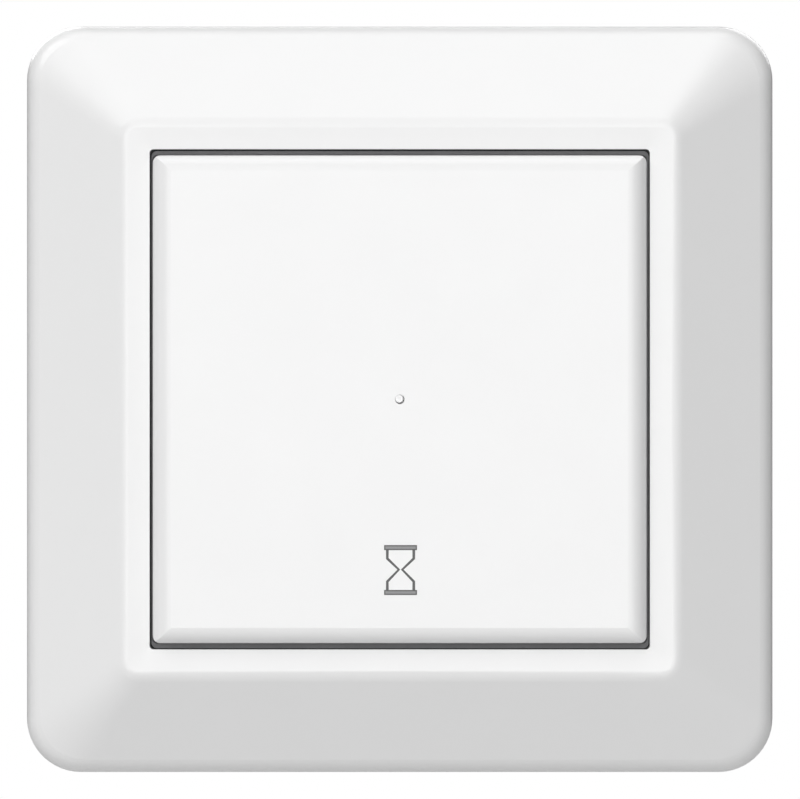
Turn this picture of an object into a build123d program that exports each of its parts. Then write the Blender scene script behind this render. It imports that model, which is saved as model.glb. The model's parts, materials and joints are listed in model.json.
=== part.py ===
from build123d import *

import math
import os

os.makedirs("parts", exist_ok=True)

# Timer light switch for a flush wall box, in millimetres.
# The origin is the centre of the wall plane, -Y points at the viewer and +Z is up.
# A height is a distance in front of the wall, so a negative height is inside the box.

# Cover frame
frame_side = 83.0
frame_corner_radius = 6.0
frame_depth = 10.0
frame_edge_height = 5.2
frame_edge_radius = 2.4
frame_wall = 2.0
opening_side = 55.7
opening_corner_radius = 0.5
opening_edge_radius = 0.3
band_width = 3.0
band_drop = 0.2
ridge_corner_radius = 2.0
ridge_edge_radius = 2.5
collar_wall = 1.6
collar_lift = 0.3
frame_rib = 1.0
frame_rib_place = 18.0
window_width = 6.0
window_place = 11.0

# Rocker, with the lens at its centre
rocker_side_gap = 0.375
rocker_end_gap = 0.725
rocker_corner_radius = 0.9
rocker_side_round = 2.05
rocker_end_round = 1.7
rocker_rise = 5.6
rocker_thickness = 2.0
rocker_wall = 1.3
rocker_skirt = 4.6
rocker_rib = 1.0
rocker_rib_place = 6.0
hinge_rise = 1.8
stub_radius = 1.2
lug_radius = 1.5
lug_thickness = 1.6
pad_radius = 2.2
tilt_limit = 2.5
lens_radius = 0.45
lens_clearance = 0.08
lens_flange_radius = 1.2
lens_flange = 0.8
lens_round = 0.12

# Insert carrier behind the rocker
flange_thickness = 1.6
rim_gap = 0.2
rim_wall = 1.0
rim_height = 3.8
rim_corner_radius = 0.4
deck_height = 4.4
deck_thickness = 1.4
hat_wall = 1.4
hat_lap = 1.8
hat_corner_radius = 2.6
well_wall = 1.0
well_gap = 0.2
barb_reach = 0.6
barb_height = 1.4
barb_land = 0.4
barb_rise = 0.3
barb_clearance = 0.1
post_place = 15.0
post_thickness = 1.6
post_width = 4.0
post_cap = 0.9
snap_lip = 0.15
lug_gap = 0.4
access_radius = 3.0

# Mounting plate
plate_inset = 6.0
plate_thickness = 1.2
plate_corner_radius = 3.0
plate_hole_radius = 2.0
plate_side_seat = 2.7
plate_notch_radius = 1.5
box_screw_spacing = 60.0
box_hole_radius = 2.1
side_slot_width = 4.2
side_slot_length = 8.0
screw_head_room = 4.5
screw_head_depth = 3.0

# Housing in the wall box
housing_width = 41.0
housing_height = 45.0
housing_depth = 25.0
housing_wall = 1.8
housing_corner_radius = 8.0
housing_edge_radius = 1.2
niche_width = 12.0
niche_depth = 3.2
niche_wall = 1.6
boss_radius = 2.3
boss_gap = 0.1
pilot_depth = 9.0
ledge_width = 4.0
ledge_depth = 1.9

# Carrier screws
carrier_screw_radius = 1.25
carrier_screw_length = 8.8
carrier_head_radius = 2.5
carrier_head = 1.5

# Spreading claws and their screws
claw_pivot_inset = 1.5
claw_pivot_depth = 4.8
claw_reach = 4.6
claw_length = 18.0
claw_metal = 1.0
claw_width = 8.8
claw_offset = 1.0
claw_tab_width = 6.8
claw_tab_reach = 8.3
claw_slot_start = 3.0
claw_slot_end = 7.3
cheek_radius = 1.4
pin_radius = 0.8
tooth_reach = 1.6
tooth_root = 0.5
tooth_count = 3
claw_screw_radius = 1.5
claw_screw_stand = 0.9
claw_head_radius = 2.6
claw_head = 1.6

# Terminals
terminal_pitch = 6.4
terminal_count = 4
terminal_width = 5.2
terminal_tall = 6.0
terminal_length = 8.3
terminal_bore_radius = 1.8
terminal_end_wall = 0.8
terminal_lift = 1.3
terminal_screw_radius = 1.3
terminal_head_radius = 1.9
terminal_head = 1.5
terminal_screw_backoff = 0.9
tail_width = 1.8
tail_thickness = 0.8
tail_lap = 1.4
divider_wall = 0.8

# Control board and what it carries
control_setback = 5.4
board_thickness = 1.2
board_side_gap = 0.4
board_end_gap = 0.9
plunger_place = 16.5
plunger_radius = 1.7
plunger_gap = 0.1
plunger_round = 0.9
plunger_room = 0.9
collar_radius = 2.5
collar_thickness = 0.7
stem_radius = 1.1
stem_entry = 1.6
switch_side = 6.0
switch_height = 4.0
switch_bore_depth = 3.0
spring_wire_radius = 0.2
spring_radius = 1.7
spring_turns = 3
led_radius = 1.5
led_height = 2.3
led_base_radius = 1.9
led_base = 0.5
guide_radius = 1.5
guide_gap = 0.2
guide_flange_radius = 2.3
guide_flange = 0.5
guide_rise = 0.8
chip_side = 7.0
chip_height = 1.4
chip_x = 8.5
chip_z = -6.0
trimmer_side = 6.5
trimmer_height = 3.0
trimmer_x = -9.5
trimmer_z = 7.0
trimmer_journal_radius = 1.5
trimmer_journal = 1.9
trimmer_shaft_radius = 2.0
trimmer_hole_gap = 0.5
trimmer_recess = 0.4
trimmer_slot_width = 0.8
trimmer_slot_depth = 1.0

# Power board and what it carries
power_post = 2.0
power_post_radius = 1.5
power_thickness = 1.6
power_end_gap = 0.5
power_top_gap = 0.4
part_margin = 0.7
part_gap = 1.0
part_spare = 0.4
relay_width = 15.0
relay_headroom = 2.0
relay_edge = 0.4
film_length = 12.0
film_width = 5.0
film_headroom = 3.0
film_edge = 0.6
can_radius = 4.0
can_headroom = 1.5
can_groove = 0.3
varistor_radius = 3.5
varistor_thickness = 4.0
fuse_radius = 4.25
fuse_headroom = 5.0
connector_pins_count = 4
connector_pitch = 2.54
connector_width = 2.6
connector_headroom = 4.5
connector_pin = 0.64
connector_pin_stand = 0.4
connector_pin_hole = 0.5

# Fits shared by all pieces
running_clearance = 0.05
free_clearance = 0.3
driver_slot_width = 0.8
driver_slot_depth = 0.8
overrun = 1.0
snap = 0.01

# Places worked out from the sizes above, from the wall outwards
deck_top = plate_thickness + deck_height
deck_underside = deck_top - deck_thickness
flange_top = plate_thickness + flange_thickness
rim_top = plate_thickness + rim_height
hinge_height = deck_top + hinge_rise
rocker_face = deck_top + rocker_rise
rocker_underside = rocker_face - rocker_thickness
rocker_width = opening_side - 2 * rocker_side_gap
rocker_height = opening_side - 2 * rocker_end_gap
ridge_side = opening_side + 2 * band_width
rim_side = opening_side - 2 * rim_gap
collar_side = opening_side + 2 * collar_wall
collar_start = plate_thickness + collar_lift
plate_side = frame_side - 2 * plate_inset
notch_top = plate_thickness + screw_head_depth
barb_low = flange_top + barb_rise

slope_run = (frame_side - ridge_side) / 2
slope_angle = math.atan2(frame_depth - frame_edge_height, slope_run)
slope_shift = frame_wall / math.cos(slope_angle)
cavity_side = frame_side - 2 * frame_wall
cavity_top = frame_depth - slope_shift
cavity_edge = frame_edge_height + frame_wall * math.tan(slope_angle) - slope_shift

housing_half_width = housing_width / 2
housing_half_height = housing_height / 2
inner_half_width = housing_half_width - housing_wall
inner_half_height = housing_half_height - housing_wall
inner_corner_radius = housing_corner_radius - housing_wall
floor_front = housing_wall - housing_depth
niche_x = housing_half_width - niche_depth
niche_inner = niche_x - niche_wall
hole_half_width = housing_half_width - plate_side_seat
hole_half_height = inner_half_height
boss_x = hole_half_width - boss_gap - boss_radius
boss_z = hole_half_height - boss_gap - boss_radius
boss_top = plate_thickness - boss_gap
hat_width = 2 * (hole_half_width + hat_lap)
hat_height = 2 * (hole_half_height + hat_lap)
well_radius = carrier_head_radius + well_gap
carrier_hole_radius = carrier_screw_radius + free_clearance

pivot_x = housing_half_width - claw_pivot_inset
claw_screw_x = pivot_x + claw_reach
claw_hole_radius = claw_screw_radius + free_clearance
claw_screw_length = plate_thickness + claw_pivot_depth + claw_metal / 2 + claw_screw_stand

terminal_low = terminal_lift - inner_half_height
terminal_z = terminal_low + terminal_tall / 2
terminal_top = terminal_low + terminal_tall
terminal_front = floor_front + terminal_length
terminal_screw_height = floor_front + terminal_length / 2
terminal_first = -terminal_pitch * (terminal_count - 1) / 2
terminal_places = [terminal_first + terminal_pitch * number for number in range(terminal_count)]
partition_low = terminal_top + part_gap
partition_top = partition_low + divider_wall

board_half_width = niche_inner - board_side_gap
board_half_height = inner_half_height - board_end_gap
board_rear = -control_setback - board_thickness
power_front = floor_front + power_post + power_thickness
power_low = partition_top + power_end_gap
power_high = inner_half_height - ledge_depth - power_top_gap
tall_room = board_rear - power_front
relay_height = tall_room - relay_headroom
film_height = tall_room - film_headroom
can_height = tall_room - can_headroom
fuse_height = tall_room - fuse_headroom
connector_height = tall_room - connector_headroom
relay_length = 2 * (board_half_width - fuse_radius) - part_margin - part_gap - part_spare
partition_height = power_front + relay_height
switch_top = switch_height - control_setback
collar_top = deck_underside - plunger_room
collar_under = collar_top - collar_thickness
plunger_tip = hinge_height - plunger_gap
shaft_end = deck_top - trimmer_recess

relay_x = -board_half_width + part_margin + relay_length / 2
relay_low = power_low + tail_lap + free_clearance
relay_z = relay_low + relay_width / 2
relay_right = relay_x + relay_length / 2
relay_high = relay_low + relay_width
can_x = relay_right + part_gap + can_radius
can_z = relay_low + part_gap + can_radius
fuse_x = relay_right + part_gap + fuse_radius
fuse_z = can_z + can_radius + part_gap + fuse_radius
film_x = -board_half_width + part_margin + film_length / 2
film_z = relay_high + part_gap + film_width / 2
varistor_x = film_x + film_length / 2 + part_gap + varistor_radius
varistor_z = relay_high + part_gap + varistor_thickness / 2
connector_length = connector_pins_count * connector_pitch
connector_x = board_half_width - part_margin - connector_length / 2
connector_z = varistor_z + varistor_thickness / 2 + part_gap + connector_width / 2


def front(height):
    """Plane parallel to the wall that faces the viewer, at a height in front of the wall."""
    return Plane.XZ.offset(height)


def side_plane(quarter, along):
    """Plane square to one side of the frame: local x points outwards, local y at the viewer."""
    outward = Vector(1, 0, 0).rotate(Axis.Y, -90 * quarter)
    sideways = outward.cross(Vector(0, -1, 0))
    return Plane(origin=sideways * along, x_dir=outward, z_dir=sideways)


def loop_at(piece, height):
    """Edges of a piece that lie in the plane at a height in front of the wall."""
    level = piece.edges().filter_by(Plane.XZ)
    return level.filter_by_position(Axis.Y, -height - snap, -height + snap)


# The cover frame: a sloped square shell with a dished band round the opening
with BuildPart() as cover_frame:
    with BuildSketch(front(0)):
        RectangleRounded(frame_side, frame_side, frame_corner_radius)
    extrude(amount=frame_edge_height)
    with BuildSketch(front(frame_edge_height)):
        RectangleRounded(frame_side, frame_side, frame_corner_radius)
    with BuildSketch(front(frame_depth)):
        RectangleRounded(ridge_side, ridge_side, ridge_corner_radius)
    loft(ruled=True)
    fillet(loop_at(cover_frame, frame_edge_height), frame_edge_radius)

    # Dished band and opening, then the soft ridge between band and slope
    with BuildSketch(front(frame_depth)):
        RectangleRounded(ridge_side, ridge_side, ridge_corner_radius)
    with BuildSketch(front(frame_depth - band_drop)):
        RectangleRounded(opening_side, opening_side, opening_corner_radius)
    loft(ruled=True, mode=Mode.SUBTRACT)
    with BuildSketch(front(0)):
        RectangleRounded(opening_side, opening_side, opening_corner_radius)
    extrude(amount=frame_depth, mode=Mode.SUBTRACT)
    fillet(loop_at(cover_frame, frame_depth - band_drop), opening_edge_radius)
    fillet(loop_at(cover_frame, frame_depth), ridge_edge_radius)

    # Hollow from behind, then the collar that clips to the carrier
    with BuildSketch(front(0)):
        RectangleRounded(cavity_side, cavity_side, frame_corner_radius - frame_wall)
        RectangleRounded(opening_side, opening_side, opening_corner_radius, mode=Mode.SUBTRACT)
    extrude(amount=cavity_edge, mode=Mode.SUBTRACT)
    with BuildSketch(front(cavity_edge)):
        RectangleRounded(cavity_side, cavity_side, frame_corner_radius - frame_wall)
    with BuildSketch(front(cavity_top)):
        RectangleRounded(ridge_side, ridge_side, ridge_corner_radius)
    loft(ruled=True, mode=Mode.SUBTRACT)
    with BuildSketch(front(collar_start)):
        RectangleRounded(collar_side, collar_side, opening_corner_radius + collar_wall)
        RectangleRounded(opening_side, opening_side, opening_corner_radius, mode=Mode.SUBTRACT)
    extrude(amount=cavity_top - collar_start)

    # Ribs between collar and outer wall, two on each side
    for quarter in range(4):
        for along in (-frame_rib_place, frame_rib_place):
            with BuildSketch(side_plane(quarter, along)):
                Polygon(
                    (collar_side / 2, collar_start + frame_rib),
                    (cavity_side / 2, collar_start + frame_rib),
                    (cavity_side / 2, cavity_edge),
                    (ridge_side / 2, cavity_top),
                    (collar_side / 2, cavity_top),
                    align=None,
                )
            extrude(amount=frame_rib / 2, both=True)

    # Windows for the carrier's barbs, left and right
    for quarter in (0, 2):
        for along in (-window_place, window_place):
            with BuildSketch(side_plane(quarter, along)):
                with Locations((collar_side / 2, barb_low + barb_height / 2)):
                    Rectangle(2 * collar_wall + overrun, barb_height + 2 * barb_clearance)
            extrude(amount=window_width / 2, both=True, mode=Mode.SUBTRACT)

    # Round notches above the heads of the box screws
    with BuildSketch(front(0)):
        with GridLocations(0, box_screw_spacing, 1, 2):
            Circle(screw_head_room)
    extrude(amount=notch_top, mode=Mode.SUBTRACT)
cover_frame.part.label = "cover_frame"
export_step(cover_frame.part, "parts/cover_frame.step")


# The rocker: two crossed round-edged profiles leave mitred corners
with BuildPart() as rocker:
    with BuildSketch(front(rocker_face - rocker_skirt)):
        RectangleRounded(rocker_width, rocker_height, rocker_corner_radius)
    extrude(amount=rocker_skirt)
    with BuildSketch(Plane.XY):
        with Locations((0, -rocker_face / 2)):
            Rectangle(rocker_width, rocker_face)
        fillet(vertices().sort_by(Axis.Y)[:2], rocker_side_round)
    extrude(amount=rocker_height / 2, both=True, mode=Mode.INTERSECT)
    with BuildSketch(Plane.YZ):
        with Locations((-rocker_face / 2, 0)):
            Rectangle(rocker_face, rocker_height)
        fillet(vertices().sort_by(Axis.X)[:2], rocker_end_round)
    extrude(amount=rocker_width / 2, both=True, mode=Mode.INTERSECT)

    # Hollow behind the face, with two stiffening ribs
    with BuildSketch(front(rocker_face - rocker_skirt)):
        Rectangle(rocker_width - 2 * rocker_wall, rocker_height - 2 * rocker_wall)
    extrude(amount=rocker_skirt - rocker_thickness, mode=Mode.SUBTRACT)
    with BuildSketch(front(rocker_underside - rocker_rib)):
        with GridLocations(2 * rocker_rib_place, 0, 2, 1):
            Rectangle(rocker_rib, rocker_height - 2 * rocker_wall)
    extrude(amount=rocker_rib)

    # Pads over the plungers, hinge lugs with their stubs, and the lens hole
    with BuildSketch(front(hinge_height)):
        with GridLocations(0, 2 * plunger_place, 1, 2):
            Circle(pad_radius)
    extrude(amount=rocker_underside - hinge_height)
    lug_x = post_place - post_thickness / 2 - lug_gap - lug_thickness / 2
    for side in (-1, 1):
        with BuildSketch(Plane.YZ.offset(side * lug_x)):
            with Locations((-hinge_height, 0)):
                Circle(lug_radius)
            with Locations((-(hinge_height + rocker_underside) / 2, 0)):
                Rectangle(rocker_underside - hinge_height, 2 * lug_radius)
        extrude(amount=lug_thickness / 2, both=True)
        with BuildSketch(Plane.YZ.offset(side * (lug_x + lug_thickness / 2))):
            with Locations((-hinge_height, 0)):
                Circle(stub_radius)
        extrude(amount=side * (lug_gap + post_thickness - lug_gap / 2))
    with BuildSketch(front(rocker_underside)):
        Circle(lens_radius + lens_clearance)
    extrude(amount=rocker_thickness, mode=Mode.SUBTRACT)
rocker.part.label = "rocker"
export_step(rocker.part, "parts/rocker.step")


# The lens: a clear pin with a flange glued behind the face
with BuildPart() as rocker_lens:
    with BuildSketch(front(rocker_underside - lens_flange)):
        Circle(lens_flange_radius)
    extrude(amount=lens_flange)
    with BuildSketch(front(rocker_underside)):
        Circle(lens_radius)
    extrude(amount=rocker_thickness)
    fillet(loop_at(rocker_lens, rocker_face), lens_round)
rocker_lens.part.label = "rocker_lens"
export_step(rocker_lens.part, "parts/rocker_lens.step")


# The insert carrier: flange, rim seen in the gap, and a raised deck like a hat
with BuildPart() as insert_carrier:
    with BuildSketch(front(plate_thickness)):
        RectangleRounded(rim_side, rim_side, rim_corner_radius)
    extrude(amount=flange_thickness)
    with BuildSketch(front(flange_top)):
        RectangleRounded(rim_side, rim_side, rim_corner_radius)
        Rectangle(rim_side - 2 * rim_wall, rim_side - 2 * rim_wall, mode=Mode.SUBTRACT)
    extrude(amount=rim_top - flange_top)
    with BuildSketch(front(plate_thickness)):
        RectangleRounded(hat_width, hat_height, hat_corner_radius)
    extrude(amount=deck_height)
    with BuildSketch(front(plate_thickness)):
        RectangleRounded(
            hat_width - 2 * hat_wall, hat_height - 2 * hat_wall, hat_corner_radius - hat_wall
        )
    extrude(amount=deck_height - deck_thickness, mode=Mode.SUBTRACT)

    # Wells for the four carrier screws
    with BuildSketch(front(plate_thickness)):
        with GridLocations(2 * boss_x, 2 * boss_z, 2, 2):
            Circle(well_radius + well_wall)
    extrude(amount=deck_height)
    with BuildSketch(front(flange_top)):
        with GridLocations(2 * boss_x, 2 * boss_z, 2, 2):
            Circle(well_radius)
    extrude(amount=deck_height, mode=Mode.SUBTRACT)
    with BuildSketch(front(0)):
        with GridLocations(2 * boss_x, 2 * boss_z, 2, 2):
            Circle(carrier_hole_radius)
    extrude(amount=deck_top, mode=Mode.SUBTRACT)

    # Posts with snap-in sockets for the rocker's stubs
    socket_radius = stub_radius + running_clearance
    post_top = hinge_height + post_cap
    for side in (-1, 1):
        with BuildSketch(Plane.YZ.offset(side * post_place)):
            with Locations((-(deck_top + post_top) / 2, 0)):
                Rectangle(post_top - deck_top, post_width)
            with Locations((-hinge_height, 0)):
                Circle(socket_radius, mode=Mode.SUBTRACT)
            with Locations((-(hinge_height + post_top) / 2, 0)):
                Rectangle(post_cap, 2 * (socket_radius - snap_lip), mode=Mode.SUBTRACT)
        extrude(amount=post_thickness / 2, both=True)

    # Holes for plungers, light guide, time setting, claw screws and box screws
    with BuildSketch(front(0)):
        with GridLocations(0, 2 * plunger_place, 1, 2):
            Circle(plunger_radius + running_clearance)
        Circle(guide_radius + running_clearance)
        with Locations((trimmer_x, trimmer_z)):
            Circle(trimmer_shaft_radius + trimmer_hole_gap)
        with GridLocations(2 * claw_screw_x, 0, 2, 1):
            Circle(access_radius)
    extrude(amount=deck_top, mode=Mode.SUBTRACT)
    with BuildSketch(front(0)):
        with GridLocations(0, box_screw_spacing, 1, 2):
            Circle(screw_head_room)
    extrude(amount=notch_top, mode=Mode.SUBTRACT)

    # Barbs that snap into the windows of the cover frame
    for quarter in (0, 2):
        for along in (-window_place, window_place):
            with BuildSketch(side_plane(quarter, along)):
                Polygon(
                    (rim_side / 2 - rim_wall, barb_low),
                    (rim_side / 2 + barb_reach, barb_low),
                    (rim_side / 2 + barb_reach, barb_low + barb_land),
                    (rim_side / 2, barb_low + barb_height),
                    (rim_side / 2 - rim_wall, barb_low + barb_height),
                    align=None,
                )
            extrude(amount=window_width / 2 - free_clearance, both=True)
insert_carrier.part.label = "insert_carrier"
export_step(insert_carrier.part, "parts/insert_carrier.step")


# The mounting plate, with holes for the box screws above and below and slots left and right
with BuildPart() as mounting_plate:
    with BuildSketch(front(0)):
        RectangleRounded(plate_side, plate_side, plate_corner_radius)
        RectangleRounded(
            2 * hole_half_width, 2 * hole_half_height, plate_hole_radius, mode=Mode.SUBTRACT
        )
        with GridLocations(0, box_screw_spacing, 1, 2):
            Circle(box_hole_radius, mode=Mode.SUBTRACT)
        with GridLocations(box_screw_spacing, 0, 2, 1):
            SlotOverall(side_slot_length, side_slot_width, rotation=90, mode=Mode.SUBTRACT)
        with GridLocations(2 * claw_screw_x, 0, 2, 1):
            Circle(claw_hole_radius, mode=Mode.SUBTRACT)
        with GridLocations(plate_side, 0, 2, 1):
            Circle(plate_notch_radius, mode=Mode.SUBTRACT)
    extrude(amount=plate_thickness)
mounting_plate.part.label = "mounting_plate"
export_step(mounting_plate.part, "parts/mounting_plate.step")


# The housing: a box with side niches for the claws
with BuildPart() as housing:
    with BuildSketch(front(-housing_depth)):
        RectangleRounded(housing_width, housing_height, housing_corner_radius)
    extrude(amount=housing_depth)
    fillet(loop_at(housing, -housing_depth), housing_edge_radius)
    with BuildSketch(front(floor_front)):
        RectangleRounded(2 * inner_half_width, 2 * inner_half_height, inner_corner_radius)
    extrude(amount=-floor_front, mode=Mode.SUBTRACT)

    # Niche walls, cut free outside
    for side in (-1, 1):
        with BuildSketch(front(floor_front)):
            with Locations((side * (niche_inner + inner_half_width) / 2, 0)):
                Rectangle(inner_half_width - niche_inner, niche_width + 2 * niche_wall)
        extrude(amount=-floor_front)
        with BuildSketch(front(-housing_depth)):
            with Locations((side * (niche_x + housing_half_width + overrun) / 2, 0)):
                Rectangle(niche_depth + overrun, niche_width)
        extrude(amount=housing_depth, mode=Mode.SUBTRACT)

    # Slots that the claw pins drop into, closed by the mounting plate
    pin_half_length = niche_width / 2 + niche_wall - running_clearance
    for side in (-1, 1):
        with BuildSketch(Plane.XY):
            with Locations((side * pivot_x, claw_pivot_depth)):
                Circle(pin_radius)
            with Locations((side * pivot_x, claw_pivot_depth / 2)):
                Rectangle(2 * pin_radius, claw_pivot_depth)
        extrude(amount=pin_half_length, both=True, mode=Mode.SUBTRACT)

    # Screw bosses in the corners
    with BuildSketch(front(floor_front)):
        with GridLocations(2 * boss_x, 2 * boss_z, 2, 2):
            Circle(boss_radius)
    extrude(amount=boss_top - floor_front)
    with BuildSketch(front(boss_top)):
        with GridLocations(2 * boss_x, 2 * boss_z, 2, 2):
            Circle(carrier_screw_radius + running_clearance)
    extrude(amount=-pilot_depth, mode=Mode.SUBTRACT)

    # Ledges for the control board and posts for the power board
    with BuildSketch(front(floor_front)):
        with Locations((0, inner_half_height - ledge_depth / 2)):
            Rectangle(ledge_width, ledge_depth)
    extrude(amount=board_rear - floor_front)
    with BuildSketch(front(terminal_front + part_gap)):
        with Locations((0, ledge_depth / 2 - inner_half_height)):
            Rectangle(ledge_width, ledge_depth)
    extrude(amount=board_rear - terminal_front - part_gap)
    with BuildSketch(front(floor_front)):
        for post_z in (power_low + part_gap + power_post_radius, power_high - part_gap - power_post_radius):
            with Locations((0, post_z)):
                with GridLocations(2 * (boss_x - boss_radius - power_post_radius), 0, 2, 1):
                    Circle(power_post_radius)
    extrude(amount=power_post)

    # Wire entries in the floor and driver holes in the lower wall
    with BuildSketch(front(-housing_depth)):
        for place in terminal_places:
            with Locations((place, terminal_z)):
                Circle(terminal_bore_radius)
    extrude(amount=housing_wall, mode=Mode.SUBTRACT)
    with BuildSketch(Plane.XY.offset(-housing_half_height - overrun)):
        for place in terminal_places:
            with Locations((place, -terminal_screw_height)):
                Circle(terminal_head_radius + running_clearance)
    extrude(amount=housing_wall + overrun, mode=Mode.SUBTRACT)
housing.part.label = "housing"
export_step(housing.part, "parts/housing.step")


# The insulator: a partition with a slot for each terminal's tail, and dividers like a comb
with BuildPart() as terminal_insulator:
    with BuildSketch(front(floor_front)):
        with Locations((0, (partition_low + partition_top) / 2)):
            Rectangle(2 * (inner_half_width - running_clearance), partition_top - partition_low)
    extrude(amount=partition_height - floor_front)
    with BuildSketch(front(power_front - running_clearance)):
        for place in terminal_places:
            with Locations((place, (partition_low + partition_top) / 2)):
                Rectangle(tail_width + 2 * free_clearance, divider_wall + 2 * part_gap)
    extrude(amount=partition_height - power_front + overrun, mode=Mode.SUBTRACT)
    divider_low = running_clearance - inner_half_height
    with BuildSketch(front(floor_front)):
        for place in terminal_places[1:]:
            with Locations((place - terminal_pitch / 2, (partition_low + divider_low) / 2)):
                Rectangle(divider_wall, partition_low - divider_low)
    extrude(amount=terminal_length)
terminal_insulator.part.label = "terminal_insulator"
export_step(terminal_insulator.part, "parts/terminal_insulator.step")


# Screws that clamp carrier, plate and housing together
with BuildPart() as carrier_screws:
    with BuildSketch(front(flange_top)):
        with GridLocations(2 * boss_x, 2 * boss_z, 2, 2):
            Circle(carrier_screw_radius)
    extrude(amount=-carrier_screw_length)
    with BuildSketch(front(flange_top)):
        with GridLocations(2 * boss_x, 2 * boss_z, 2, 2):
            Circle(carrier_head_radius)
    extrude(amount=carrier_head)
    with BuildSketch(front(flange_top + carrier_head)):
        with GridLocations(2 * boss_x, 2 * boss_z, 2, 2):
            Rectangle(2 * carrier_head_radius, driver_slot_width)
    extrude(amount=-driver_slot_depth, mode=Mode.SUBTRACT)
carrier_screws.part.label = "carrier_screws"
export_step(carrier_screws.part, "parts/carrier_screws.step")


def build_claw(side):
    """Steel claw that turns about its pin; side is 1 for the right claw and -1 for the left."""
    arm_end = claw_pivot_depth + claw_length
    arm_x = pivot_x + claw_offset
    with BuildPart() as claw:
        with BuildSketch(Plane.XY):
            Polygon(
                (side * arm_x, claw_pivot_depth - claw_metal / 2),
                (side * (pivot_x + claw_tab_reach), claw_pivot_depth - claw_metal / 2),
                (side * (pivot_x + claw_tab_reach), claw_pivot_depth + claw_metal / 2),
                (side * (arm_x + claw_metal), claw_pivot_depth + claw_metal / 2),
                (side * (arm_x + claw_metal), claw_pivot_depth + claw_metal),
                (side * arm_x, claw_pivot_depth + claw_metal),
                align=None,
            )
        extrude(amount=claw_tab_width / 2, both=True)
        with BuildSketch(Plane.XY):
            with Locations((side * (arm_x + claw_metal / 2), claw_pivot_depth + claw_length / 2)):
                Rectangle(claw_metal, claw_length)
        extrude(amount=claw_width / 2, both=True)

        # Slot in the tab, cut for the screw at every angle of the claw
        with BuildSketch(front(-claw_pivot_depth - claw_metal)):
            with Locations((side * (pivot_x + (claw_slot_start + claw_slot_end) / 2), 0)):
                slot_half_width = claw_screw_radius + 2 * running_clearance
                Rectangle(claw_slot_end - claw_slot_start, 2 * slot_half_width)
        extrude(amount=2 * claw_metal, mode=Mode.SUBTRACT)

        # Cheeks folded back round the pin
        cheek_z = (claw_width - claw_metal) / 2
        for half in (-1, 1):
            with BuildSketch(Plane.XY.offset(half * cheek_z)):
                with Locations((side * pivot_x, claw_pivot_depth)):
                    Circle(cheek_radius)
                with Locations((side * (pivot_x + (claw_offset + claw_metal) / 2), claw_pivot_depth)):
                    Rectangle(claw_offset + claw_metal, 2 * cheek_radius)
                with Locations((side * pivot_x, claw_pivot_depth)):
                    Circle(pin_radius + running_clearance, mode=Mode.SUBTRACT)
            extrude(amount=claw_metal / 2, both=True)

        # Teeth bent outwards at the end of the arm
        tooth_step = claw_width / tooth_count
        with BuildSketch(front(-arm_end)):
            with Locations((side * (arm_x + claw_metal + tooth_root / 2), 0)):
                Rectangle(tooth_root, claw_width)
            for number in range(tooth_count):
                middle = (number + 0.5) * tooth_step - claw_width / 2
                root_x = side * (arm_x + claw_metal + tooth_root)
                Polygon(
                    (root_x, middle - tooth_step / 2),
                    (root_x + side * (tooth_reach - tooth_root), middle),
                    (root_x, middle + tooth_step / 2),
                    align=None,
                )
        extrude(amount=claw_metal)
    return claw


def build_claw_screw(side):
    """Slotted screw that draws the claw's tab towards the mounting plate."""
    with BuildPart() as screw:
        with BuildSketch(front(plate_thickness)):
            with Locations((side * claw_screw_x, 0)):
                Circle(claw_screw_radius)
        extrude(amount=-claw_screw_length)
        with BuildSketch(front(plate_thickness)):
            with Locations((side * claw_screw_x, 0)):
                Circle(claw_head_radius)
        extrude(amount=claw_head)
        chamfer(loop_at(screw, plate_thickness - claw_screw_length), driver_slot_width / 2)
        with BuildSketch(front(plate_thickness + claw_head)):
            with Locations((side * claw_screw_x, 0)):
                Rectangle(2 * claw_head_radius, driver_slot_width)
        extrude(amount=-driver_slot_depth, mode=Mode.SUBTRACT)
    return screw


for side_name, side in (("left", -1), ("right", 1)):
    claw = build_claw(side)
    claw.part.label = f"claw_{side_name}"
    export_step(claw.part, f"parts/claw_{side_name}.step")
    claw_screw = build_claw_screw(side)
    claw_screw.part.label = f"claw_screw_{side_name}"
    export_step(claw_screw.part, f"parts/claw_screw_{side_name}.step")


# The pins that the claws turn on
with BuildPart() as claw_pins:
    with BuildSketch(Plane.XY):
        with Locations((-pivot_x, claw_pivot_depth), (pivot_x, claw_pivot_depth)):
            Circle(pin_radius - snap)
    extrude(amount=pin_half_length, both=True)
claw_pins.part.label = "claw_pins"
export_step(claw_pins.part, "parts/claw_pins.step")


# Brass terminal blocks: a bore for the wire from behind and a tail to the power board
with BuildPart() as terminal_blocks:
    with BuildSketch(front(floor_front)):
        for place in terminal_places:
            with Locations((place, terminal_z)):
                Rectangle(terminal_width, terminal_tall)
    extrude(amount=terminal_length)
    with BuildSketch(front(floor_front)):
        for place in terminal_places:
            with Locations((place, terminal_z)):
                Circle(terminal_bore_radius)
    extrude(amount=terminal_length - terminal_end_wall, mode=Mode.SUBTRACT)
    with BuildSketch(Plane.XY.offset(terminal_low)):
        for place in terminal_places:
            with Locations((place, -terminal_screw_height)):
                Circle(terminal_screw_radius + running_clearance)
    extrude(amount=terminal_tall / 2, mode=Mode.SUBTRACT)
    with BuildSketch(front(power_front)):
        for place in terminal_places:
            with Locations((place, (terminal_top + power_low + tail_lap) / 2)):
                Rectangle(tail_width, power_low + tail_lap - terminal_top)
    extrude(amount=tail_thickness)
terminal_blocks.part.label = "terminal_blocks"
export_step(terminal_blocks.part, "parts/terminal_blocks.step")


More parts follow.
